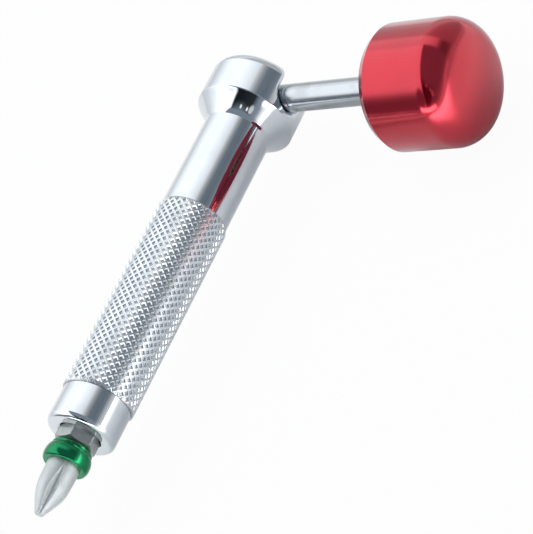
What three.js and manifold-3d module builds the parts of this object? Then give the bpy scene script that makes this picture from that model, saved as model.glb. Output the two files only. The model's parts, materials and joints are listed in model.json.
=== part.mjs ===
// Lollipop bit driver: a knurled steel body holds a hex bit at one end. At the other end a round arm swings
// in a slotted head and carries a knob that spins on it.
// Units are millimetres. The tool lies on its side: +X runs along the arm to the knob, +Y runs from the bit
// to the head, and +Z is the hinge pin's axis. Pieces are drawn about the pin's centre. The last lines move
// them so that the origin lies under the middle of the bounding box.
import * as THREE from "three";
import { mergeVertices } from "three/addons/utils/BufferGeometryUtils.js";
import Module from "manifold-3d";

const wasm = await Module();
wasm.setup();

// Head of the body, measured from the pin's axis
const headDiameter = 17.8;
const headBandAbovePin = 2.0;
const headBandBelowPin = 4.15;
const headTopRound = 2.3;
const undersideSlope = 43;
const undersideFootRound = 1.9;

// Neck, grip and collar of the body, in order from the head to the bit
const neckDiameter = 12.0;
const gripBelowPin = 26.8;
const gripRise = 0.35;
const gripLength = 38.7;
const gripChamfer = 0.5;
const collarLength = 6.8;
const collarRound = 1.0;

// Slot in the head, open at the top and with a round floor, as room left round the arm
const slotGap = 0.3;

// Hinge pin, in a hole that stops short of the head's upper side
const pinDiameter = 3.0;
const pinCover = 2.0;
const pinSetback = 0.3;
const pinChamfer = 0.3;

// Ball and spring that hold the arm at its stops
const detentBallDiameter = 3.0;
const springWire = 0.4;
const springTurns = 8;
const springPitch = 1.0;

// Arm
const armDiameter = 5.0;
const armPastRing = 1.65;
const armEndChamfer = 0.4;

// Knob
const knobDiameter = 21.8;
const knobStandOff = 31.2;
const knobLength = 17.5;
const knobShoulderRound = 4.8;
const knobDomeRadius = 32.0;
const knobBackChamferLength = 1.3;
const knobBackChamferDepth = 0.9;

// Bearing of the knob on the arm
const bushWall = 1.42;
const bushLength = 7.0;
const bushSetback = 0.3;
const ringPlay = 0.4;
const ringThickness = 0.7;
const ringGrooveDepth = 0.4;
const ringMouth = 2.4;
const thrustBallDiameter = 3.0;
const chamberPastArm = 0.6;

// Bit and its ring, with the lengths that show below the collar in order
const hexSides = 6;
const bitAcrossFlats = 6.35;
const bitLength = 25.0;
const bitHexShown = 2.3;
const bitRingGap = 0.3;
const bitRingLength = 3.3;
const bitPointShown = 9.2;
const bitHexChamfer = 0.6;
const bitPointDiameter = 5.5;
const bitPointCone = 4.2;
const bitTipDiameter = 1.6;
const bitHexTurn = 28;
const fluteTurn = 48;
const fluteCount = 4;
const fluteRootAtTip = 0.5;
const fluteRunOut = 0.8;
const bitRingWall = 0.66;
const bitRingBulge = 0.6;

// Magnet at the bottom of the hex socket
const magnetDiameter = 5.0;
const magnetThickness = 3.0;

// Clearances, on the radius or along the axis
const pressGap = 0.04;
const runningGap = 0.08;
const hexGap = 0.1;
const springGap = 0.23;
const seatGap = 0.15;
const ballGap = 0.12;

// Fineness of round shapes, and the room that cutters reach past a face
const roundSides = 48;
const smallSides = 32;
const ballSides = 20;
const arcSteps = 4;
const springStepsPerTurn = 12;
const springWireSides = 6;
const cutMargin = 1.0;

// Radii that several pieces share
const headRadius = headDiameter / 2;
const neckRadius = neckDiameter / 2;
const gripRadius = neckRadius + gripRise;
const pinRadius = pinDiameter / 2;
const armRadius = armDiameter / 2;
const slotHalf = armRadius + slotGap;
const knobRadius = knobDiameter / 2;
const detentBallRadius = detentBallDiameter / 2;
const detentBoreRadius = detentBallRadius + runningGap;
const thrustBallRadius = thrustBallDiameter / 2;
const bushRadius = armRadius + runningGap + bushWall;
const bitPointRadius = bitPointDiameter / 2;
const hexCornerShare = 1 / Math.cos(Math.PI / hexSides);

// Places along the body, with the pin's axis at zero
const headTop = headBandAbovePin + headTopRound;
const undersideTurn = THREE.MathUtils.degToRad(undersideSlope);
const footReach = undersideFootRound * (1 - Math.cos(undersideTurn));
const footRise = undersideFootRound * Math.sin(undersideTurn);
const coneRise = (headRadius - neckRadius - footReach) / Math.tan(undersideTurn);
const neckTop = -headBandBelowPin - coneRise - footRise;
const gripTop = -gripBelowPin;
const gripBottom = gripTop - gripLength;
const collarEnd = gripBottom - collarLength;
const detentBallCentre = -armRadius - ballGap - detentBallRadius;
const springTop = detentBallCentre - detentBallRadius - seatGap;
const springLength = springPitch * springTurns + springWire;
const detentBoreFloor = springTop - springLength - seatGap;
const bitHexEnd = collarEnd - bitHexShown;
const bitRingTop = bitHexEnd - bitRingGap;
const bitRingBottom = bitRingTop - bitRingLength;
const bitTip = bitRingBottom - bitPointShown;
const bitInnerEnd = bitTip + bitLength;
const magnetFace = bitInnerEnd + seatGap;
const magnetBack = magnetFace + magnetThickness;
const magnetBoreFloor = magnetBack + seatGap;
const pointConeTop = bitTip + bitPointCone;

// Places along the arm, with the pin's axis at zero
const knobApex = knobStandOff + knobLength;
const bushStart = knobStandOff + bushSetback;
const bushEnd = bushStart + bushLength;
const ringStart = bushEnd + seatGap;
const ringEnd = ringStart + ringThickness;
const armEnd = ringEnd + armPastRing;
const thrustBallCentre = armEnd + pressGap + thrustBallRadius;
const chamberEnd = armEnd + chamberPastArm;
const thrustSeatFloor = thrustBallCentre + thrustBallRadius + pressGap;

// A closed geometry as a solid that can be joined and cut
function solidOf(geometry) {
  const bare = geometry.clone();
  bare.deleteAttribute("normal");
  bare.deleteAttribute("uv");
  const merged = mergeVertices(bare);
  const vertProperties = new Float32Array(merged.attributes.position.array);
  const triVerts = new Uint32Array(merged.index.array);
  return new wasm.Manifold(new wasm.Mesh({ numProp: 3, vertProperties, triVerts }));
}

// A solid as a geometry again, with flat shading
function geometryOf(solid) {
  const mesh = solid.getMesh();
  const geometry = new THREE.BufferGeometry();
  geometry.setAttribute("position", new THREE.BufferAttribute(mesh.vertProperties, mesh.numProp));
  geometry.setIndex(new THREE.BufferAttribute(mesh.triVerts, 1));
  const flat = geometry.toNonIndexed();
  flat.computeVertexNormals();
  return flat;
}

// A solid of revolution about Y, from a path of radius and height
function turned(path, sides = roundSides) {
  return new THREE.LatheGeometry(path.getPoints(arcSteps), sides);
}

// A round bar along Y between two heights
function bar(radius, low, high, sides = smallSides) {
  const geometry = new THREE.CylinderGeometry(radius, radius, high - low, sides);
  return geometry.translate(0, (low + high) / 2, 0);
}

// A ball
const ball = (radius) => new THREE.SphereGeometry(radius, ballSides, ballSides / 2);

// A ring about Y with a plain section
function sleeve(inner, outer, low, high, sides = smallSides) {
  const path = new THREE.Path();
  path.moveTo(inner, low);
  path.lineTo(outer, low);
  path.lineTo(outer, high);
  path.lineTo(inner, high);
  path.lineTo(inner, low);
  return turned(path, sides);
}

// A hexagonal bar along Y between two heights
function hexBar(acrossFlats, low, high) {
  const corner = (acrossFlats / 2) * hexCornerShare;
  const geometry = bar(corner, low, high, hexSides);
  return geometry.rotateY(THREE.MathUtils.degToRad(bitHexTurn));
}

// Turns a geometry drawn along Y so that it lies along X, or along Z
const alongX = (geometry) => geometry.rotateZ(-Math.PI / 2);
const alongZ = (geometry) => geometry.rotateX(Math.PI / 2);

// Outline of the body, from the collar's end face up to the head's top
function bodyBlank() {
  const path = new THREE.Path();
  path.moveTo(0, collarEnd);
  path.lineTo(neckRadius - collarRound, collarEnd);
  path.absarc(neckRadius - collarRound, collarEnd + collarRound, collarRound, -Math.PI / 2, 0);
  path.lineTo(neckRadius, gripBottom);
  path.lineTo(gripRadius, gripBottom + gripChamfer);
  path.lineTo(gripRadius, gripTop - gripChamfer);
  path.lineTo(neckRadius, gripTop);
  path.lineTo(neckRadius, neckTop);
  path.absarc(
    neckRadius + undersideFootRound, neckTop, undersideFootRound,
    Math.PI, Math.PI - undersideTurn, true,
  );
  path.lineTo(headRadius, -headBandBelowPin);
  path.lineTo(headRadius, headBandAbovePin);
  path.absarc(headRadius - headTopRound, headBandAbovePin, headTopRound, 0, Math.PI / 2);
  path.lineTo(0, headTop);
  return turned(path);
}

// Cutter for the slot: a channel along X, open upwards, with its floor round about the arm's axis
function slotCutter() {
  const shape = new THREE.Shape();
  shape.moveTo(slotHalf, headTop + cutMargin);
  shape.lineTo(-slotHalf, headTop + cutMargin);
  shape.absarc(0, 0, slotHalf, Math.PI, 2 * Math.PI);
  shape.closePath();
  const length = headDiameter + 2 * cutMargin;
  const options = { depth: length, bevelEnabled: false, curveSegments: 2 * arcSteps };
  const channel = new THREE.ExtrudeGeometry(shape, options);
  return channel.translate(0, 0, -length / 2).rotateY(Math.PI / 2);
}

// The head's slot, the pin's hole, the detent's bore, the hex socket and the magnet's bore
function bodyGeometry() {
  const pinHole = alongZ(bar(pinRadius + pressGap, -headRadius - cutMargin, headRadius - pinCover));
  const detentBore = bar(detentBoreRadius, detentBoreFloor, 0);
  const socket = hexBar(bitAcrossFlats + 2 * hexGap, collarEnd - cutMargin, magnetFace);
  const magnetBore = bar(magnetDiameter / 2 + pressGap, magnetFace - cutMargin, magnetBoreFloor);
  return geometryOf(
    solidOf(bodyBlank())
      .subtract(solidOf(slotCutter()))
      .subtract(solidOf(pinHole))
      .subtract(solidOf(detentBore))
      .subtract(solidOf(socket))
      .subtract(solidOf(magnetBore)),
  );
}

function hingePinGeometry() {
  const low = -headRadius + pinSetback;
  const high = headRadius - pinCover - seatGap;
  const path = new THREE.Path();
  path.moveTo(0, low);
  path.lineTo(pinRadius - pinChamfer, low);
  path.lineTo(pinRadius, low + pinChamfer);
  path.lineTo(pinRadius, high - pinChamfer);
  path.lineTo(pinRadius - pinChamfer, high);
  path.lineTo(0, high);
  return alongZ(turned(path, smallSides));
}

// Arm: a rod with a ball end on the pin and a groove for the ring near its other end
function armGeometry() {
  const grooveRadius = armRadius - ringGrooveDepth;
  const path = new THREE.Path();
  path.moveTo(0, -armRadius);
  path.absarc(0, 0, armRadius, -Math.PI / 2, 0);
  path.lineTo(armRadius, ringStart - pressGap);
  path.lineTo(grooveRadius, ringStart - pressGap);
  path.lineTo(grooveRadius, ringEnd + pressGap);
  path.lineTo(armRadius, ringEnd + pressGap);
  path.lineTo(armRadius, armEnd - armEndChamfer);
  path.lineTo(armRadius - armEndChamfer, armEnd);
  path.lineTo(0, armEnd);
  const rod = alongX(turned(path, smallSides));
  const pinHole = alongZ(bar(pinRadius + runningGap, -armDiameter, armDiameter));
  return geometryOf(solidOf(rod).subtract(solidOf(pinHole)));
}

// Spring wire's centre line, climbing along Y
class CoilCurve extends THREE.Curve {
  getPoint(share, target = new THREE.Vector3()) {
    const turn = share * springTurns * 2 * Math.PI;
    const radius = detentBoreRadius - springGap - springWire / 2;
    const height = springTop - springLength + springWire / 2 + share * springPitch * springTurns;
    return target.set(radius * Math.cos(turn), height, radius * Math.sin(turn));
  }
}

function springGeometry() {
  const section = new THREE.Shape();
  section.absarc(0, 0, springWire / 2, 0, 2 * Math.PI);
  return new THREE.ExtrudeGeometry(section, {
    steps: springStepsPerTurn * springTurns,
    extrudePath: new CoilCurve(),
    bevelEnabled: false,
    curveSegments: springWireSides / 2,
  });
}

// Knob: domed front, rounded shoulder, chamfered back, and a stepped bore for its bearing
function knobGeometry() {
  const shoulderCentre = knobRadius - knobShoulderRound;
  const domeCentre = knobApex - knobDomeRadius;
  const reach = knobDomeRadius - knobShoulderRound;
  const shoulder = domeCentre + Math.sqrt(reach ** 2 - shoulderCentre ** 2);
  const meet = Math.asin(shoulderCentre / reach);
  const boreRadius = bushRadius + pressGap;
  const seatRadius = thrustBallRadius + pressGap;
  const path = new THREE.Path();
  path.moveTo(0, thrustSeatFloor);
  path.lineTo(seatRadius, thrustSeatFloor);
  path.lineTo(seatRadius, chamberEnd);
  path.lineTo(boreRadius, chamberEnd);
  path.lineTo(boreRadius, knobStandOff);
  path.lineTo(knobRadius - knobBackChamferDepth, knobStandOff);
  path.lineTo(knobRadius, knobStandOff + knobBackChamferLength);
  path.lineTo(knobRadius, shoulder);
  path.absarc(shoulderCentre, shoulder, knobShoulderRound, 0, Math.PI / 2 - meet);
  path.absarc(0, domeCentre, knobDomeRadius, Math.PI / 2 - meet, Math.PI / 2);
  return alongX(turned(path));
}

// Split ring that lies in the arm's groove
function snapRingGeometry() {
  const inner = armRadius - ringGrooveDepth + pressGap;
  const outer = bushRadius - ringPlay;
  const innerStart = Math.asin(ringMouth / 2 / inner);
  const outerStart = Math.asin(ringMouth / 2 / outer);
  const shape = new THREE.Shape();
  shape.absarc(0, 0, outer, outerStart, 2 * Math.PI - outerStart);
  shape.absarc(0, 0, inner, 2 * Math.PI - innerStart, innerStart, true);
  shape.closePath();
  const options = { depth: ringThickness, bevelEnabled: false, curveSegments: 2 * arcSteps };
  return new THREE.ExtrudeGeometry(shape, options).rotateY(Math.PI / 2).translate(ringStart, 0, 0);
}

// Cutter for one flute of the point: a square bar laid on edge, sloping outwards from the tip
function fluteCutter(turn) {
  const rise = bitPointRadius - fluteRootAtTip;
  const run = bitRingBottom - fluteRunOut - bitTip;
  const slope = Math.atan(rise / run);
  const side = bitPointDiameter;
  const cutter = new THREE.BoxGeometry(side, 2 * (run + side), side);
  cutter.rotateY(Math.PI / 4);
  cutter.translate(side * Math.SQRT1_2, 0, 0);
  cutter.rotateZ(-slope);
  cutter.translate(fluteRootAtTip, bitTip, 0);
  return cutter.rotateY(THREE.MathUtils.degToRad(turn));
}

// Bit: a chamfered hex shank, a round point with a cone, and four flutes
function bitGeometry() {
  const corner = (bitAcrossFlats / 2) * hexCornerShare + hexGap;
  const envelope = new THREE.Path();
  envelope.moveTo(0, bitHexEnd);
  envelope.lineTo(bitPointRadius, bitHexEnd);
  envelope.lineTo(corner, bitHexEnd + bitHexChamfer);
  envelope.lineTo(corner, bitInnerEnd - bitHexChamfer);
  envelope.lineTo(bitPointRadius, bitInnerEnd);
  envelope.lineTo(0, bitInnerEnd);
  const point = new THREE.Path();
  point.moveTo(0, bitTip);
  point.lineTo(bitTipDiameter / 2, bitTip);
  point.lineTo(bitPointRadius, pointConeTop);
  point.lineTo(bitPointRadius, bitHexEnd + bitHexChamfer);
  point.lineTo(0, bitHexEnd + bitHexChamfer);
  const hex = solidOf(hexBar(bitAcrossFlats, bitHexEnd, bitInnerEnd));
  let bit = hex.intersect(solidOf(turned(envelope))).add(solidOf(turned(point, smallSides)));
  for (let flute = 0; flute < fluteCount; flute += 1) {
    bit = bit.subtract(solidOf(fluteCutter(fluteTurn + (360 * flute) / fluteCount)));
  }
  return geometryOf(bit);
}

// Ring round the bit, with a round bulge
function bitRingGeometry() {
  const inner = bitPointRadius + pressGap;
  const end = inner + bitRingWall;
  const halfLength = bitRingLength / 2;
  const bulgeRadius = (halfLength ** 2 + bitRingBulge ** 2) / (2 * bitRingBulge);
  const spread = Math.asin(halfLength / bulgeRadius);
  const path = new THREE.Path();
  path.moveTo(inner, bitRingBottom);
  path.lineTo(end, bitRingBottom);
  path.absarc(end + bitRingBulge - bulgeRadius, bitRingBottom + halfLength, bulgeRadius, -spread, spread);
  path.lineTo(inner, bitRingTop);
  path.lineTo(inner, bitRingBottom);
  return turned(path, smallSides);
}

const tool = new THREE.Group();

const finishes = {
  chrome: { color: 0xd9dde2, roughness: 0.12, metalness: 1 },
  polishedSteel: { color: 0xb4b8bc, roughness: 0.2, metalness: 1 },
  plainSteel: { color: 0xa2a5a8, roughness: 0.35, metalness: 1 },
  redAnodised: { color: 0xc4161f, roughness: 0.22, metalness: 0.9 },
  greenAnodised: { color: 0x0f7a3d, roughness: 0.25, metalness: 0.8 },
  bronze: { color: 0xb0803f, roughness: 0.4, metalness: 1 },
  nickel: { color: 0x9a9ca0, roughness: 0.3, metalness: 1 },
};

function addPiece(name, geometry, finish) {
  const mesh = new THREE.Mesh(geometry, new THREE.MeshStandardMaterial(finish));
  mesh.name = name;
  tool.add(mesh);
}

const bushGeometry = alongX(sleeve(armRadius + runningGap, bushRadius, bushStart, bushEnd));

addPiece("body", bodyGeometry(), finishes.chrome);
addPiece("hinge_pin", hingePinGeometry(), finishes.plainSteel);
addPiece("detent_ball", ball(detentBallRadius).translate(0, detentBallCentre, 0), finishes.polishedSteel);
addPiece("detent_spring", springGeometry(), finishes.plainSteel);
addPiece("arm", armGeometry(), finishes.polishedSteel);
addPiece("knob", knobGeometry(), finishes.redAnodised);
addPiece("knob_bush", bushGeometry, finishes.bronze);
addPiece("knob_snap_ring", snapRingGeometry(), finishes.plainSteel);
addPiece("thrust_ball", ball(thrustBallRadius).translate(thrustBallCentre, 0, 0), finishes.polishedSteel);
addPiece("bit_magnet", bar(magnetDiameter / 2, magnetFace, magnetBack), finishes.nickel);
addPiece("driver_bit", bitGeometry(), finishes.plainSteel);
addPiece("bit_ring", bitRingGeometry(), finishes.greenAnodised);

// The tool's bounding box runs from the head's side to the knob's front and from the bit's tip to the
// knob's rim, and the knob lies on the ground.
tool.position.set((headRadius - knobApex) / 2, -(bitTip + knobRadius) / 2, knobRadius);

const driver = new THREE.Group();
driver.add(tool);

export default driver;
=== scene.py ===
import json
import math
import bmesh
import bpy
from mathutils import Matrix, Vector
from mathutils.geometry import interpolate_bezier


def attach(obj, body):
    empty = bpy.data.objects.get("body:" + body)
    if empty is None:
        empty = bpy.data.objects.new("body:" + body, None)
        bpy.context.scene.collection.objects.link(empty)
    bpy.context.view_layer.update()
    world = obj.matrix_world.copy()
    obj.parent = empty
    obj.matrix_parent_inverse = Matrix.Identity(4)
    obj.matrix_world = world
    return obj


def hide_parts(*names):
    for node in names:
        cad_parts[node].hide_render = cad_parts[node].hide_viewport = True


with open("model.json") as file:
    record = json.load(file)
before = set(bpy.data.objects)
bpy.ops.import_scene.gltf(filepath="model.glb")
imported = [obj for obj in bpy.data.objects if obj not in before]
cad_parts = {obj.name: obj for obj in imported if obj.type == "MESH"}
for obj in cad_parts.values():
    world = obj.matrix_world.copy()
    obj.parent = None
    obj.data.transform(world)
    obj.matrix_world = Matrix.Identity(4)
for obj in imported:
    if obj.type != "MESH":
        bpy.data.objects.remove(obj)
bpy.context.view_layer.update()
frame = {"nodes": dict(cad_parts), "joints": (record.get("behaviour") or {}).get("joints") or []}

hinge = Vector(next(j["pos_m"] for j in frame["joints"] if j["name"] == "arm_hinge"))
perMetre = 1000  # pieces are drawn in mm about the hinge pin
toRow = Matrix.Translation(hinge) @ Matrix.Scale(1 / perMetre, 4)
alongX = Matrix.Rotation(-math.pi / 2, 4, "Z")  # a piece drawn along Y, laid along the arm
alongZ = Matrix.Rotation(math.pi / 2, 4, "X")  # a piece drawn along Y, laid along the pin
print("frame loaded, hinge at", tuple(round(c, 5) for c in hinge))


# camera

cameraView = {
    "location": (0.24835, -0.18728, 0.23355),
    "right": (0.76312, 0.38608, -0.51826),
    "up": (0.02927, 0.78046, 0.62451),
    "lens": 158.47,
    "sensor": 36.0,
    "clip": (0.01, 20),
}


def addCamera(view):
    right, up = Vector(view["right"]), Vector(view["up"])
    turn = Matrix((right, up, right.cross(up))).transposed()
    lens = bpy.data.cameras.new("camera")
    lens.lens = view["lens"]
    lens.sensor_width = view["sensor"]
    lens.clip_start, lens.clip_end = view["clip"]
    eye = bpy.data.objects.new("camera", lens)
    eye.matrix_world = Matrix.Translation(view["location"]) @ turn.to_4x4()
    bpy.context.scene.collection.objects.link(eye)
    bpy.context.scene.camera = eye


addCamera(cameraView)
print("camera set")


# mesh helpers

weld = 1e-4  # points nearer than this are one


def arcPoints(centre, radius, start, end, steps):
    turns = [math.radians(start + (end - start) * step / steps) for step in range(steps + 1)]
    return [(centre[0] + radius * math.cos(t), centre[1] + radius * math.sin(t)) for t in turns]


def bezierPoints(knot, handle, otherHandle, otherKnot, steps):
    flat = [Vector((*p, 0)) for p in (knot, handle, otherHandle, otherKnot)]
    return [(p.x, p.y) for p in interpolate_bezier(*flat, steps)]


def turnProfile(points, steps):  # points are radius and height
    bm = bmesh.new()
    chain = [bm.verts.new((radius, height, 0)) for radius, height in points]
    links = [bm.edges.new(pair) for pair in zip(chain, chain[1:])]
    bmesh.ops.spin(bm, geom=chain + links, cent=(0, 0, 0), axis=(0, 1, 0), dvec=(0, 0, 0),
                   angle=2 * math.pi, steps=steps, use_merge=True)
    bmesh.ops.remove_doubles(bm, verts=bm.verts, dist=weld)
    bmesh.ops.recalc_face_normals(bm, faces=bm.faces)
    return bm


def roundBar(radius, low, high, steps):
    return turnProfile([(0, low), (radius, low), (radius, high), (0, high)], steps)


def hexBar(acrossFlats, low, high, turn):
    bm = roundBar(acrossFlats / math.sqrt(3), low, high, 6)
    twist = Matrix.Rotation(math.radians(turn), 3, "Y")
    bmesh.ops.rotate(bm, verts=bm.verts, cent=(0, 0, 0), matrix=twist)
    return bm


def pushedOut(outline, way):  # a flat outline made a bar
    bm = bmesh.new()
    face = bm.faces.new([bm.verts.new(p) for p in outline])
    grown = bmesh.ops.extrude_face_region(bm, geom=[face])["geom"]
    bmesh.ops.translate(bm, vec=way, verts=[v for v in grown if isinstance(v, bmesh.types.BMVert)])
    bmesh.ops.recalc_face_normals(bm, faces=bm.faces)
    return bm


def allOf(bm):
    return bm.verts[:] + bm.edges[:] + bm.faces[:]


def asObject(bm, name):
    mesh = bpy.data.meshes.new(name)
    bm.to_mesh(mesh)
    bm.free()
    made = bpy.data.objects.new(name, mesh)
    bpy.context.scene.collection.objects.link(made)
    return made


def cutBy(bm, cutters, operation="DIFFERENCE"):  # booleans, one cutter after another
    blank = asObject(bm, "blank")
    tools = []
    for cutter in cutters:
        tool = asObject(cutter, "cutter")
        step = blank.modifiers.new("cut", "BOOLEAN")
        step.operation, step.solver, step.object = operation, "EXACT", tool
        tools.append(tool)
    shaped = blank.evaluated_get(bpy.context.evaluated_depsgraph_get())
    made = bmesh.new()
    made.from_mesh(shaped.to_mesh())
    for spare in [blank, *tools]:
        bpy.data.meshes.remove(spare.data)
    return made


def finishPiece(bm, name, body, node, material, sharpAngle=28, turn=Matrix.Identity(4)):
    bmesh.ops.transform(bm, matrix=toRow @ turn, verts=bm.verts)
    for face in bm.faces:
        face.smooth = True
    for edge in bm.edges:
        joined = len(edge.link_faces) == 2
        edge.smooth = joined and edge.calc_face_angle() < math.radians(sharpAngle)
    piece = asObject(bm, name)
    piece.data.materials.append(material)
    evened = piece.modifiers.new("even shading", "WEIGHTED_NORMAL")
    evened.keep_sharp = True
    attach(piece, body)
    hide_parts(node)
    print("piece", name, len(piece.data.polygons), "faces")


# shader helpers

class Wire:  # a socket that takes part in sums, and adds nodes to its own tree
    def __init__(self, tree, socket=None):
        self.tree, self.socket = tree, socket

    def add(self, kind, settings=None, inputs=None, output=0):
        node = self.tree.nodes.new("ShaderNode" + kind)
        for name, value in (settings or {}).items():
            if name == "stops":
                while len(node.color_ramp.elements) < len(value):
                    node.color_ramp.elements.new(0.5)
                for stop, (place, colour) in zip(node.color_ramp.elements, value):
                    stop.position, stop.color = place, colour
            else:
                setattr(node, name, value)
        for name, value in (inputs or {}).items():
            if isinstance(value, Wire):
                self.tree.links.new(value.socket, node.inputs[name])
            else:
                node.inputs[name].default_value = value
        return Wire(self.tree, node.outputs[output] if node.outputs else None)

    def calc(self, operation, *others):
        return self.add("Math", {"operation": operation}, dict(enumerate((self, *others))))

    def __add__(self, other):
        return self.calc("ADD", other)

    def __sub__(self, other):
        return self.calc("SUBTRACT", other)

    def __rsub__(self, other):
        return self.add("Math", {"operation": "SUBTRACT"}, {0: other, 1: self})

    def __mul__(self, other):
        return self.calc("MULTIPLY", other)

    def __truediv__(self, other):
        return self.calc("DIVIDE", other)

    def __rtruediv__(self, other):
        return self.add("Math", {"operation": "DIVIDE"}, {0: other, 1: self})

    __radd__ = __add__
    __rmul__ = __mul__


def mixed(under, over, share):
    return share.add("Mix", {"data_type": "RGBA"}, {0: share, 6: under, 7: over}, 2)


def between(value, low, high):  # 0 below low, 1 above high, eased
    return value.add("MapRange", {"interpolation_type": "SMOOTHSTEP"}, {0: value, 1: low, 2: high})


def parts(vector, names):
    return [vector.add("SeparateXYZ", {}, {0: vector}, name) for name in names]


def newMaterial(name):
    material = bpy.data.materials.new(name)
    material.use_nodes = True
    material.node_tree.nodes.clear()
    return material, Wire(material.node_tree)


# finishes

metalWork = {  # what all the metals share, with lengths in mm
    "lineDetail": 2.0, "grainDetail": 3.0, "hazeDetail": 4.0, "hazeFrom": (0.42, 0.68),
    "slotEdge": (0.02, 0.1), "otherEdge": 0.1, "coatRough": 0.03,
}


def turnedMetal(name, s):
    w = metalWork
    material, start = newMaterial(name)
    place = start.add("TexCoord", output="Object")
    spot = start.add("Mapping", {}, {
        "Vector": place, "Location": hinge * -perMetre, "Scale": [perMetre] * 3})
    x, y, z = parts(spot, "XYZ")
    along, across = (y, x) if s["axis"] == "Y" else (x, y)
    out = (across * across + z * z).calc("SQRT")
    turned = start.add("CombineXYZ", {}, {0: along, 1: out})
    lines = start.add("TexNoise", {"noise_dimensions": "2D"},
                      {"Vector": turned, "Scale": s["lines"], "Detail": w["lineDetail"]})
    grain = start.add("TexNoise", {}, {"Vector": spot, "Scale": s["grain"], "Detail": w["grainDetail"]})
    cloud = start.add("TexNoise", {}, {"Vector": spot, "Scale": s["haze"], "Detail": w["hazeDetail"]})
    haze = between(cloud, *w["hazeFrom"])
    colour = mixed((*s["colour"], 1), (*s["worn"], 1), haze)
    rough = s["rough"] + haze * s["hazeRough"] + (lines - 0.5) * s["lineRough"]
    coat = s.get("coat", 0.0)
    if "pits" in s:  # deeper than the crests is duller, and darker by painted shade
        deep = 1 - between(out, *s["pits"])
        colour = mixed(colour, (*s["pitShadeColour"], 1), deep)
        rough = rough + deep * s["pitRough"]
    if "slotHalf" in s:  # the slot's walls are only milled
        below = y.calc("MINIMUM", 0)
        fromSlot = (z * z + below * below).calc("SQRT")
        milled = 1 - between(fromSlot, *(s["slotHalf"] + edge for edge in w["slotEdge"]))
        rough = rough + milled * s["slotRough"]
    if "otherUpTo" in s:  # another finish up to this place along the piece; on the knob's back its darker colour is painted shade
        other = 1 - between(along, s["otherUpTo"], s["otherUpTo"] + w["otherEdge"])
        colour = mixed(colour, (*s["otherColourAndShade"], 1), other)
        rough = rough + other * s["otherRough"]
        if "otherCoat" in s:
            coat = coat + other * (s["otherCoat"] - coat)
    height = lines * s["lineHeight"] + grain * s["grainHeight"]
    normal = start.add("Bump", {}, {"Strength": 1.0, "Distance": 1 / perMetre, "Height": height})
    shader = start.add("BsdfPrincipled", {}, {
        "Base Color": colour, "Roughness": rough, "Normal": normal, "Metallic": s.get("metallic", 1.0),
        "Coat Weight": coat, "Coat Roughness": w["coatRough"]})
    start.add("OutputMaterial", {}, {"Surface": shader})
    return material


chrome = turnedMetal("polished chrome", {
    "axis": "Y", "colour": (0.85, 0.885, 0.92), "worn": (0.81, 0.845, 0.88),
    "rough": 0.04, "hazeRough": 0.03, "lineRough": 0.02,
    "lines": 9.0, "grain": 12.0, "haze": 0.22, "lineHeight": 0.0003, "grainHeight": 0.0001,
    "slotHalf": 2.8, "slotRough": 0.4,
})
knurlMetal = turnedMetal("knurled chrome", {
    # the base colour is paler than the body's chrome: painted light
    "axis": "Y", "colour": (0.93, 0.965, 0.99), "worn": (0.88, 0.915, 0.94),
    "rough": 0.24, "hazeRough": 0.06, "lineRough": 0.03,
    "lines": 3.0, "grain": 9.0, "haze": 0.3, "lineHeight": 0.001, "grainHeight": 0.006,
    # the pits' darker colour is painted shade
    "pits": (6.16, 6.22), "pitShadeColour": (0.6, 0.62, 0.64), "pitRough": 0.1,
})
armSteel = turnedMetal("polished steel", {
    "axis": "X", "colour": (0.6, 0.63, 0.66), "worn": (0.54, 0.565, 0.59),
    "rough": 0.17, "hazeRough": 0.05, "lineRough": 0.1,
    "lines": 7.0, "grain": 10.0, "haze": 0.25, "lineHeight": 0.002, "grainHeight": 0.0005,
})
plainSteel = turnedMetal("plain steel", {
    "axis": "Y", "colour": (0.6, 0.61, 0.62), "worn": (0.5, 0.51, 0.53),
    "rough": 0.28, "hazeRough": 0.1, "lineRough": 0.08,
    "lines": 5.0, "grain": 9.0, "haze": 0.4, "lineHeight": 0.002, "grainHeight": 0.002,
})
redMetal = turnedMetal("red anodised", {
    "axis": "X", "colour": (0.63, 0.007, 0.029), "worn": (0.585, 0.006, 0.027),
    "rough": 0.13, "hazeRough": 0.03, "lineRough": 0.04, "metallic": 0.8, "coat": 1.0,
    "lines": 6.0, "grain": 14.0, "haze": 0.15, "lineHeight": 0.0004, "grainHeight": 0.0004,
    # the flat back is dull, and its darker colour is painted shade
    "otherUpTo": 31.25, "otherColourAndShade": (0.2, 0.014, 0.035), "otherRough": 0.25, "otherCoat": 0.1,
})
greenMetal = turnedMetal("green anodised", {
    "axis": "Y", "colour": (0.004, 0.28, 0.1), "worn": (0.003, 0.24, 0.085),
    "rough": 0.18, "hazeRough": 0.04, "lineRough": 0.04, "metallic": 0.9, "coat": 0.3,
    "lines": 8.0, "grain": 14.0, "haze": 0.5, "lineHeight": 0.0005, "grainHeight": 0.0005,
})
bitSteel = turnedMetal("bit steel", {
    "axis": "Y", "colour": (0.54, 0.555, 0.54), "worn": (0.48, 0.49, 0.475),
    "rough": 0.36, "hazeRough": 0.08, "lineRough": 0.04,
    "lines": 5.0, "grain": 7.0, "haze": 0.6, "lineHeight": 0.002, "grainHeight": 0.01,
    # the point is plated pale
    "otherUpTo": -76.0, "otherColourAndShade": (0.78, 0.805, 0.8), "otherRough": 0.2,
})
bronze = turnedMetal("oiled bronze", {
    "axis": "X", "colour": (0.2, 0.14, 0.09), "worn": (0.14, 0.1, 0.07),
    "rough": 0.35, "hazeRough": 0.1, "lineRough": 0.08,
    "lines": 5.0, "grain": 12.0, "haze": 0.6, "lineHeight": 0.002, "grainHeight": 0.004,
})
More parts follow.
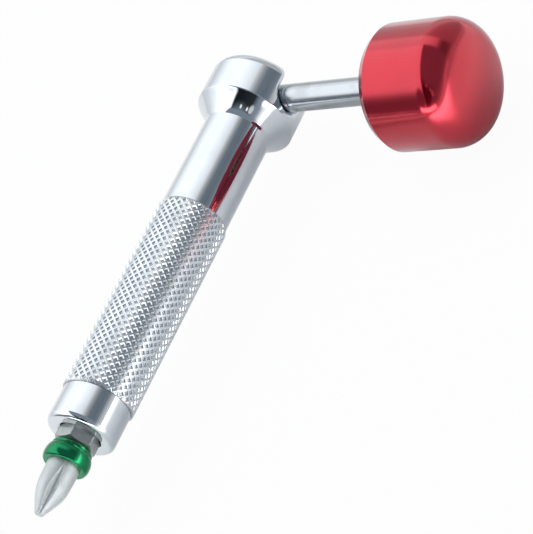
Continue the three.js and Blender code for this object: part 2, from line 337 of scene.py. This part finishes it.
nickel = turnedMetal("nickel plate", {
    "axis": "Y", "colour": (0.6, 0.58, 0.54), "worn": (0.5, 0.48, 0.44),
    "rough": 0.15, "hazeRough": 0.1, "lineRough": 0.04,
    "lines": 6.0, "grain": 10.0, "haze": 0.5, "lineHeight": 0.0005, "grainHeight": 0.001,
})
print("finishes made")


# body

bodyShape = {
    "headRadius": 8.9, "bandTop": 2.0, "bandBottom": -4.15, "topRound": 2.3, "bandEdge": 0.3,
    "neckRadius": 6.0, "neckTop": -8.01, "footRound": 1.9, "footSlope": 38,
    "coneBow": 21.0, "coneSlope": 48,
    "gripTop": -26.8, "gripBottom": -65.5, "coreRadius": 5.9, "coreStep": 0.05,
    "collarEnd": -72.3, "collarRound": 1.0,
    "slotHalf": 2.8, "slotTop": 10, "slotReach": 12, "slotSteps": 24,
    "rimRound": 0.8, "rimOver": 0.01, "rimPeak": 1.3,
    "pinHole": 1.54, "pinHoleStart": -12, "pinHoleEnd": 6.9,
    "detentHole": 1.58, "detentFloor": -14.32,
    "socketFlats": 6.55, "socketEnd": -62.25, "socketTurn": -4,
    "mouthRadius": 3.9, "mouthDepth": 0.6, "mouthSteps": 64,
    "magnetHole": 2.54, "magnetFloor": -59.1,
    "over": 1,  # how far a cutter starts outside
    "steps": 192, "roundSteps": 14, "bowSteps": 10, "edgeSteps": 8, "holeSteps": 48,
}


def bodyProfile(s):
    neck, foot, edge = s["neckRadius"], s["footRound"], s["bandEdge"]
    collarAt = (neck - s["collarRound"], s["collarEnd"] + s["collarRound"])
    points = [(0, s["collarEnd"])]
    points += arcPoints(collarAt, s["collarRound"], -90, 0, s["edgeSteps"])
    points += [(neck, s["gripBottom"] - s["coreStep"]), (s["coreRadius"], s["gripBottom"])]
    points += [(s["coreRadius"], s["gripTop"]), (neck, s["gripTop"] + s["coreStep"])]
    # the head's underside: a small foot, then a slight bow up to the band
    footEnd, bowEnd = 180 - s["footSlope"], 180 - s["coneSlope"]
    points += arcPoints((neck + foot, s["neckTop"]), foot, 180, footEnd, s["roundSteps"])
    shift = s["coneBow"] - foot
    bowAt = (neck + foot - shift * math.cos(math.radians(footEnd)),
             s["neckTop"] - shift * math.sin(math.radians(footEnd)))
    points += arcPoints(bowAt, s["coneBow"], footEnd, bowEnd, s["bowSteps"])[1:-1]
    edgeAt = s["bandBottom"] + edge * math.tan(math.radians(s["coneSlope"] / 2))
    points += arcPoints((s["headRadius"] - edge, edgeAt), edge, -s["coneSlope"], 0, s["edgeSteps"])
    topAt = (s["headRadius"] - s["topRound"], s["bandTop"])
    points += arcPoints(topAt, s["topRound"], 0, 90, s["roundSteps"])
    return points + [(0, s["bandTop"] + s["topRound"])]


def slotCutter(s):
    half, top, reach = s["slotHalf"], s["slotTop"], s["slotReach"]
    outline = [(half, top)] + arcPoints((0, 0), half, 0, -180, s["slotSteps"]) + [(-half, top)]
    return pushedOut([(-reach, height, side) for side, height in outline], (2 * reach, 0, 0))


def rimCutter(s):  # takes off what a ball rolled along the slot's rim would leave outside
    ball, top, mid = s["rimRound"], s["bandTop"], s["headRadius"] - s["topRound"]
    wide, cove = s["slotHalf"] + ball, s["topRound"] - ball
    path = arcPoints((0, 0), wide, -90, 0, s["roundSteps"])  # the ball's middle, as side and height
    path += [(wide, top * n / 3) for n in (1, 2)]  # two stops on the straight
    path += [(wide, height) for _, height in arcPoints((0, top), cove, 0, 90, s["bowSteps"])]
    stops = []
    for side, height in path:
        lift = max(height - top, 0)
        swell = math.sqrt(max(cove ** 2 - lift ** 2, 0))
        out = math.sqrt((mid + swell) ** 2 - side ** 2)
        share = swell / (mid + swell)
        stops.append((Vector((out, height, side)), Vector((0, -min(height, 0), -side)).normalized(),
                      Vector((out * share, lift, side * share)).normalized()))
    stops.append((Vector((0, top + cove, wide)), *stops[-1][1:]))
    bm = bmesh.new()
    rings = []
    steps, reach = s["edgeSteps"], ball + s["rimOver"]
    for middle, wall, skin in stops:
        section = [middle + wall.slerp(skin, n / steps) * reach for n in range(steps + 1)]
        section.append(middle + (wall + skin) / (1 + wall.dot(skin)) * ball * s["rimPeak"])
        ring = [bm.verts.new(p) for p in section]
        rings.append([bm.edges.new(pair) for pair in zip(ring, ring[1:] + ring[:1])])
    for ring, nextRing in zip(rings, rings[1:]):
        bmesh.ops.bridge_loops(bm, edges=ring + nextRing)
    for axis in "XZ":
        bmesh.ops.mirror(bm, geom=allOf(bm), merge_dist=weld, axis=axis)
    bmesh.ops.recalc_face_normals(bm, faces=bm.faces)
    return bm


def buildBody(s):
    pinHole = roundBar(s["pinHole"], s["pinHoleStart"], s["pinHoleEnd"], s["holeSteps"])
    bmesh.ops.transform(pinHole, matrix=alongZ, verts=pinHole.verts)
    mouth, deep, start = s["mouthRadius"], s["mouthDepth"], s["collarEnd"] - s["over"]
    inside = s["collarEnd"] + deep
    leadIn = [(0, start), (mouth + s["over"], start), (mouth - deep, inside), (0, inside)]
    cutters = [
        slotCutter(s),
        rimCutter(s),
        pinHole,
        roundBar(s["detentHole"], s["detentFloor"], 0, s["holeSteps"]),
        hexBar(s["socketFlats"], start, s["socketEnd"], s["socketTurn"]),
        turnProfile(leadIn, s["mouthSteps"]),
        roundBar(s["magnetHole"], s["socketEnd"] - s["over"], s["magnetFloor"], s["holeSteps"]),
    ]
    bm = cutBy(turnProfile(bodyProfile(s), s["steps"]), cutters)
    finishPiece(bm, "body_shell", "body", "body", chrome)


buildBody(bodyShape)


# knurled grip

gripShape = {
    "top": -26.8, "bottom": -65.5, "crest": 6.35, "root": 6.16, "inside": 5.9,
    "starts": 28, "rows": 28, "netShare": 0.2, "slopeShare": 0.25, "pitArea": 0.4,
    "chamfer": 0.5, "endSink": 0.05, "weld": 1e-3, "sharp": 12,
}


def buildGrip(s):
    starts, rows = s["starts"], s["rows"]
    across = starts + 2 * rows + 2
    bm = bmesh.new()
    bmesh.ops.create_grid(bm, x_segments=starts, y_segments=across, size=0.5)
    bmesh.ops.translate(bm, vec=(0.5, 0.5, 0), verts=bm.verts)
    bmesh.ops.scale(bm, vec=(starts, across, 1), verts=bm.verts)
    bmesh.ops.inset_individual(bm, faces=bm.faces, thickness=s["netShare"], depth=0)
    pits = [f for f in bm.faces if f.calc_area() > s["pitArea"]]
    depth = s["root"] - s["crest"]
    bmesh.ops.inset_individual(bm, faces=pits, thickness=s["slopeShare"], depth=depth)
    pitch = (s["top"] - s["bottom"]) / rows
    for v in bm.verts:  # wrap the flat pattern round the grip
        first, second, rise = v.co.x, v.co.y - starts - 1, v.co.z
        height = s["top"] - pitch * (first + second) / 2
        turn = math.pi * (first - second) / starts
        radius = s["crest"] + rise
        v.co = (radius * math.cos(turn), height, radius * math.sin(turn))
    bmesh.ops.remove_doubles(bm, verts=bm.verts, dist=s["weld"])
    for place, away in ((s["top"], 1), (s["bottom"], -1)):
        bmesh.ops.bisect_plane(bm, geom=allOf(bm), dist=weld, plane_co=(0, place, 0),
                               plane_no=(0, away, 0), clear_outer=True)
    lowest = s["root"] - s["endSink"]
    for v in bm.verts:  # chamfered ends
        fromEnd = min(s["top"] - v.co.y, v.co.y - s["bottom"])
        radius = math.hypot(v.co.x, v.co.z)
        most = lowest + (s["crest"] - lowest) * fromEnd / s["chamfer"]
        if radius > most:
            v.co = (v.co.x * most / radius, v.co.y, v.co.z * most / radius)
    rims = [e for e in bm.edges if e.is_boundary]
    inner = bmesh.ops.extrude_edge_only(bm, edges=rims)["geom"]
    for v in inner:
        if isinstance(v, bmesh.types.BMVert):
            share = s["inside"] / math.hypot(v.co.x, v.co.z)
            v.co = (v.co.x * share, v.co.y, v.co.z * share)
    bmesh.ops.bridge_loops(bm, edges=[e for e in inner if isinstance(e, bmesh.types.BMEdge)])
    bmesh.ops.recalc_face_normals(bm, faces=bm.faces)
    finishPiece(bm, "grip_knurl", "body", "body", knurlMetal, sharpAngle=s["sharp"])


buildGrip(gripShape)


# arm and hinge pin

armShape = {
    "radius": 2.5, "end": 41.0, "endChamfer": 0.4, "grooveStart": 38.61, "grooveEnd": 39.39,
    "grooveDepth": 0.4, "pinHole": 1.58, "pinHoleReach": 4, "pinHoleSteps": 64,
    "steps": 96, "ballSteps": 16,
}
pinShape = {"radius": 1.5, "low": -8.6, "high": 6.75, "chamfer": 0.3, "steps": 64}


def buildArm(s):
    r, end, cut = s["radius"], s["end"], s["endChamfer"]
    grooveRadius, grooveStart, grooveEnd = r - s["grooveDepth"], s["grooveStart"], s["grooveEnd"]
    points = arcPoints((0, 0), r, -90, 0, s["ballSteps"])
    points += [(r, grooveStart), (grooveRadius, grooveStart), (grooveRadius, grooveEnd), (r, grooveEnd)]
    points += [(r, end - cut), (r - cut, end), (0, end)]
    pinHole = roundBar(s["pinHole"], -s["pinHoleReach"], s["pinHoleReach"], s["pinHoleSteps"])
    bmesh.ops.transform(pinHole, matrix=alongX.inverted() @ alongZ, verts=pinHole.verts)
    bm = cutBy(turnProfile(points, s["steps"]), [pinHole])
    finishPiece(bm, "arm_rod", "arm", "arm", armSteel, turn=alongX)


def buildPin(s):
    r, cut, low, high = s["radius"], s["chamfer"], s["low"], s["high"]
    points = [(0, low), (r - cut, low), (r, low + cut), (r, high - cut), (r - cut, high), (0, high)]
    bm = turnProfile(points, s["steps"])
    finishPiece(bm, "hinge_pin_rod", "body", "hinge_pin", plainSteel, turn=alongZ)


buildArm(armShape)
buildPin(pinShape)


# knob

knobShape = {
    "radius": 10.9, "back": 31.2, "apex": 48.7, "shoulderRound": 4.8, "domeRadius": 32.0,
    "backChamfer": 1.3, "backDepth": 0.9, "bore": 4.04, "boreEdge": 0.2, "chamberEnd": 41.6,
    "seat": 1.54, "seatEnd": 44.08, "steps": 192, "shoulderSteps": 20, "domeSteps": 12,
}
bushShape = {"inner": 2.58, "outer": 4.0, "start": 31.5, "end": 38.5, "edge": 0.25, "steps": 96}


def buildKnob(s):
    r, back, bore, edge = s["radius"], s["back"], s["bore"], s["boreEdge"]
    shoulder = r - s["shoulderRound"]
    domeCentre, reach = s["apex"] - s["domeRadius"], s["domeRadius"] - s["shoulderRound"]
    shoulderAt = domeCentre + math.sqrt(reach ** 2 - shoulder ** 2)
    meet = 90 - math.degrees(math.asin(shoulder / reach))
    points = [(0, s["seatEnd"]), (s["seat"], s["seatEnd"]), (s["seat"], s["chamberEnd"])]
    points += [(bore, s["chamberEnd"]), (bore, back + edge), (bore + edge, back)]
    points += [(r - s["backDepth"], back), (r, back + s["backChamfer"])]
    points += arcPoints((shoulder, shoulderAt), s["shoulderRound"], 0, meet, s["shoulderSteps"])
    points += arcPoints((0, domeCentre), s["domeRadius"], meet, 90, s["domeSteps"])[1:]
    bm = turnProfile(points, s["steps"])
    finishPiece(bm, "knob_shell", "knob", "knob", redMetal, turn=alongX)


def buildBush(s):
    inner, outer, edge = s["inner"], s["outer"], s["edge"]
    start, end = s["start"], s["end"]
    points = [(inner, start + edge), (inner + edge, start), (outer - edge, start), (outer, start + edge)]
    points += [(outer, end), (inner, end), (inner, start + edge)]
    bm = turnProfile(points, s["steps"])
    finishPiece(bm, "bush_sleeve", "knob", "knob_bush", bronze, turn=alongX)


buildKnob(knobShape)
buildBush(bushShape)


# bit and its ring

bitShape = {
    "flats": 6.35, "turn": -4, "innerEnd": -62.4, "hexEnd": -74.6, "chamfer": 0.6, "edgeRound": 0.12,
    "cornerRoom": 0.1, "over": 1, "pointRadius": 2.75, "coneTop": -83.2, "coneRound": 2.4,
    "tip": -87.4, "tipRadius": 0.8, "tipEdge": 0.1,
    "flutes": 4, "fluteTurn": 48, "fluteTop": -78.6, "fluteWide": 6, "fluteReach": 14,
    "rootAtTip": 0.5, "rootRound": 0.25,
    "steps": 96, "coneSteps": 14, "rootSteps": 6,
}
ringShape = {
    "inner": 2.79, "top": -74.9, "bottom": -78.2, "lip": 3.5, "lipLength": 0.32, "lipEdge": 0.12,
    "groove": 3.42, "grooveWidth": 0.05, "bulge": 4.05, "lowPull": (0.15, 0.2), "highPull": (0.1, 0.6),
    "foot": 3.45, "footEdge": 0.1, "steps": 96, "bulgeSteps": 16,
}


def fluteCutter(s, turn):
    rise, run = s["pointRadius"] - s["rootAtTip"], s["fluteTop"] - s["tip"]
    wide, half, reach = s["fluteWide"], s["rootRound"], s["fluteReach"]
    root = arcPoints((half * math.sqrt(2), 0), half, 225, 135, s["rootSteps"])
    outline = [(wide, -wide)] + root + [(wide, wide)]
    bm = pushedOut([(out, -reach, side) for out, side in outline], (0, 2 * reach, 0))
    lean = Matrix.Rotation(-math.atan(rise / run), 4, "Z")
    place = Matrix.Translation((s["rootAtTip"], s["tip"], 0))
    around = Matrix.Rotation(math.radians(turn), 4, "Y")
    bmesh.ops.transform(bm, matrix=around @ place @ lean, verts=bm.verts)
    return bm


def buildBit(s):
    r, low, high, cut, over = s["pointRadius"], s["hexEnd"], s["innerEnd"], s["chamfer"], s["over"]
    corner = s["flats"] / math.sqrt(3) + s["cornerRoom"]
    ends = [(0, low), (r, low), (corner, low + cut), (corner, high - cut), (r, high), (0, high)]
    hexagon = hexBar(s["flats"], low - over, high + over, s["turn"])
    longEdges = [e for e in hexagon.edges if abs(e.verts[0].co.y - e.verts[1].co.y) > over]
    bmesh.ops.bevel(hexagon, geom=longEdges, offset=s["edgeRound"], segments=3, profile=0.5,
                    affect="EDGES", material=-1)
    shank = cutBy(hexagon, [turnProfile(ends, s["steps"])], "INTERSECT")
    tip, tipRadius, edge = s["tip"], s["tipRadius"], s["tipEdge"]
    pull, full = (r, s["coneTop"]), (r, s["coneTop"] + s["coneRound"])
    points = [(0, tip), (tipRadius - edge, tip)]
    points += bezierPoints((tipRadius, tip + edge), pull, pull, full, s["coneSteps"])
    points += [(r, low + over), (0, low + over)]
    bm = cutBy(shank, [turnProfile(points, s["steps"])], "UNION")
    flutes = [fluteCutter(s, s["fluteTurn"] + 360 * n / s["flutes"]) for n in range(s["flutes"])]
    bm = cutBy(bm, flutes)
    finishPiece(bm, "bit_blade", "bit", "driver_bit", bitSteel)


def buildRing(s):
    inner, bottom, top, edge = s["inner"], s["bottom"], s["top"], s["lipEdge"]
    lipAt = top - s["lipLength"]
    lowOut, lowUp = s["lowPull"]
    highOut, highDown = s["highPull"]
    points = [(inner, bottom), (s["foot"], bottom)]
    points += bezierPoints((s["foot"] + s["footEdge"], bottom), (s["bulge"] + lowOut, bottom + lowUp),
                           (s["bulge"] + highOut, lipAt - highDown),
                           (s["groove"], lipAt - s["grooveWidth"]), s["bulgeSteps"])
    points += [(s["groove"], lipAt), (s["lip"], lipAt + edge), (s["lip"], top - edge)]
    points += [(s["lip"] - edge, top), (inner, top), (inner, bottom)]
    bm = turnProfile(points, s["steps"])
    finishPiece(bm, "bit_ring_band", "bit", "bit_ring", greenMetal)


buildBit(bitShape)
buildRing(ringShape)


# hidden pieces keep their solids

hiddenFinish = {
    "detent_ball": plainSteel,
    "detent_spring": plainSteel,
    "knob_snap_ring": plainSteel,
    "thrust_ball": plainSteel,
    "bit_magnet": nickel,
}
for node, material in hiddenFinish.items():
    solid = frame["nodes"][node]
    solid.data.materials.clear()
    solid.data.materials.append(material)
print("hidden pieces finished")


# floor and light

floorShape = {
    "size": 3.0, "colour": (0.9, 0.9, 0.9, 1), "cameraWhite": 0.96,
    # what the metal mirrors of the floor is painted: painted light and painted contact shade across it,
    # a painted pool of light and a painted dark far corner
    "glowFrom": -0.1, "glowTo": 0.1,
    "paintedFloorLight": [(-0.1, 0.45), (-0.06, 0.64), (-0.045, 0.58), (-0.02, 0.2),
             (0.004, 0.1), (0.026, 0.05), (0.036, 0.25), (0.048, 0.97)],
    "poolAt": (0.12, -0.07, 0), "poolReach": (0.085, 0.135), "paintedLightPool": (3.4, 3.4, 3.5, 1),
    "cornerX": (0.07, 0.1), "cornerY": (0.045, 0.075), "corner": 0.9,
}
studio = {
    "tint": (0.97, 1.0, 1.03), "darkTint": (0.84, 1.0, 1.16), "darkBelow": 0.3,
    # brightness by the angle round the tool: from the knob's side, over the top, to the far side
    "dome": [(60, 1.2), (100, 1.4), (135, 1.4), (147, 1.1), (156, 0.95), (165, 0.78), (180, 0.66)],
    "room": [(0, 1.0), (4, 0.8), (10, 0.42), (16, 0.28), (26, 0.25),
             (34, 0.13), (40, 0.03), (80, 0.012), (110, 0.012)],
    "behind": [(0, 0.6), (8, 0.42), (16, 0.2), (28, 0.16), (43, 0.18), (52, 0.33), (58, 0.52),
               (65, 0.82), (78, 1.0), (100, 1.2), (138, 1.15), (155, 0.92), (165, 0.75), (180, 0.66)],
    "far": [(0, 0.47), (20, 0.42), (100, 0.5), (130, 0.8), (155, 0.62), (180, 0.62)],
    # where these parts of the studio meet
    "roomSide": (0.982, 0.187, 0), "roomEdge": (-0.27, -0.18),
    "behindFrom": (0.33, 0.41), "farFrom": (0.57, 0.66),
    # patches by azimuth and elevation, each with an inner and an outer angle
    "dusk": (0.2, 0.235, 0.28, 1), "duskAt": (0, 63), "duskReach": (36, 52),
    "flag": (0.15, 0.17, 0.21, 1), "flags": (((-131, 4), (6, 28)), ((-109, 21), (11, 22))),
    "strip": (3.6, 3.6, 3.7, 1), "stripHigh": (5, 9), "stripAt": (-88, 0), "stripReach": (24, 37),
    "window": (0.6, 0.62, 0.62, 1), "windowAt": (-53, 23), "windowReach": (3, 6),
    "spot": (1.1, 1.1, 1.0, 1), "spots": ((-71, 42), (-57.5, 31)), "spotReach": (1.2, 2.6),
}
softbox = {"at": (165, 56), "distance": 0.5, "size": (0.42, 0.3), "radiance": 1.0}


def towards(azimuth, elevation):
    a, e = math.radians(azimuth), math.radians(elevation)
    return Vector((math.cos(a) * math.cos(e), math.sin(a) * math.cos(e), math.sin(e)))


def addFloor(s):
    bm = bmesh.new()
    bmesh.ops.create_grid(bm, x_segments=1, y_segments=1, size=s["size"])
    floor = asObject(bm, "floor")
    material, start = newMaterial("pale floor")
    place = start.add("TexCoord", output="Object")
    x, y = parts(place, "XY")
    reach = s["glowTo"] - s["glowFrom"]
    stops = [((at - s["glowFrom"]) / reach, (grey, grey, grey, 1)) for at, grey in s["paintedFloorLight"]]
    # painted light and painted shade across the floor, seen only by mirrored rays
    paintedFloorLight = start.add("ValToRGB", {"stops": stops}, {0: (x - s["glowFrom"]) / reach})
    # painted shade over the far corner, for mirrored rays
    corner = between(x, *s["cornerX"]) * between(y, *s["cornerY"]) * s["corner"]
    seen, glossy, through = (start.add("LightPath", output=f"Is {ray} Ray")
                             for ray in ("Camera", "Glossy", "Transmission"))
    mirrored = glossy + through
    # a painted pool of light that glows for mirrored rays; it is no lamp
    fromPool = start.add("VectorMath", {"operation": "DISTANCE"}, {0: place, 1: s["poolAt"]}, "Value")
    paintedLightPool = mirrored * (1 - between(fromPool, *s["poolReach"]))
    pale = start.add("BsdfDiffuse", {}, {"Color": s["colour"]})
    white = start.add("Emission", {}, {"Color": mixed((1, 1, 1, 1), s["paintedLightPool"], paintedLightPool)})
    share = seen * s["cameraWhite"] + mirrored * (paintedFloorLight * (1 - corner)).calc("MAXIMUM", paintedLightPool)
    both = start.add("MixShader", {}, {0: share, 1: pale, 2: white})
    start.add("OutputMaterial", {}, {"Surface": both})
    floor.data.materials.append(material)


def facing(way, direction):
    return way.add("VectorMath", {"operation": "DOT_PRODUCT"}, {0: way, 1: direction}, "Value")


def within(way, place, reach):  # 1 inside the nearer angle round a direction, 0 past the further
    near, far = (math.cos(math.radians(angle)) for angle in reach)
    return between(facing(way, towards(*place)), far, near)


def sweep(roll, stops, s):
    colours = []
    for angle, grey in stops:  # the dark parts are the bluer
        tint = s["darkTint"] if grey < s["darkBelow"] else s["tint"]
        colours.append((angle / 180, (*(grey * part for part in tint), 1)))
    return roll.add("ValToRGB", {"stops": colours}, {0: roll})


def addWorld(s):
    world = bpy.data.worlds.new("studio")
    bpy.context.scene.world = world
    world.use_nodes = True
    world.node_tree.nodes.clear()
    start = Wire(world.node_tree)
    way = start.add("TexCoord", output="Generated")
    x, y, z = parts(way, "XYZ")
    roll = z.calc("ARCTAN2", x) / math.pi
    dome, room, behind, far = (sweep(roll, s[part], s) for part in ("dome", "room", "behind", "far"))
    room = mixed(room, s["dusk"], within(way, s["duskAt"], s["duskReach"]))
    colour = mixed(dome, room, between(facing(way, s["roomSide"]), *s["roomEdge"]))
    colour = mixed(colour, behind, between(y, *s["behindFrom"]))
    colour = mixed(colour, far, between(y, *s["farFrom"]))
    for place, reach in s["flags"]:
        colour = mixed(colour, s["flag"], within(way, place, reach))
    colour = mixed(colour, s["window"], within(way, s["windowAt"], s["windowReach"]))
    for place in s["spots"]:
        colour = mixed(colour, s["spot"], within(way, place, s["spotReach"]))
    low, high = (math.sin(math.radians(angle)) for angle in s["stripHigh"])
    strip = within(way, s["stripAt"], s["stripReach"]) * (1 - between(z, low, high))
    colour = mixed(colour, s["strip"], strip)
    colour = mixed(colour, (1, 1, 1, 1), start.add("LightPath", output="Is Camera Ray"))
    light = start.add("Background", {}, {"Color": colour, "Strength": 1})
    start.add("OutputWorld", {}, {"Surface": light})


def addLamp(name, s):
    lamp = bpy.data.lights.new(name, "AREA")
    wide, tall = s["size"]
    lamp.shape, lamp.size, lamp.size_y = "RECTANGLE", wide, tall
    lamp.energy = s["radiance"] * math.pi * wide * tall
    box = bpy.data.objects.new(name, lamp)
    way = towards(*s["at"])
    turn = way.to_track_quat("Z", "Y").to_matrix().to_4x4()
    box.matrix_world = Matrix.Translation(way * s["distance"]) @ turn
    box.visible_glossy = False  # the world already holds what the metal mirrors
    bpy.context.scene.collection.objects.link(box)


addFloor(floorShape)
addWorld(studio)
addLamp("softbox", softbox)
bpy.context.scene.view_settings.view_transform = "Standard"
print("floor and light set")
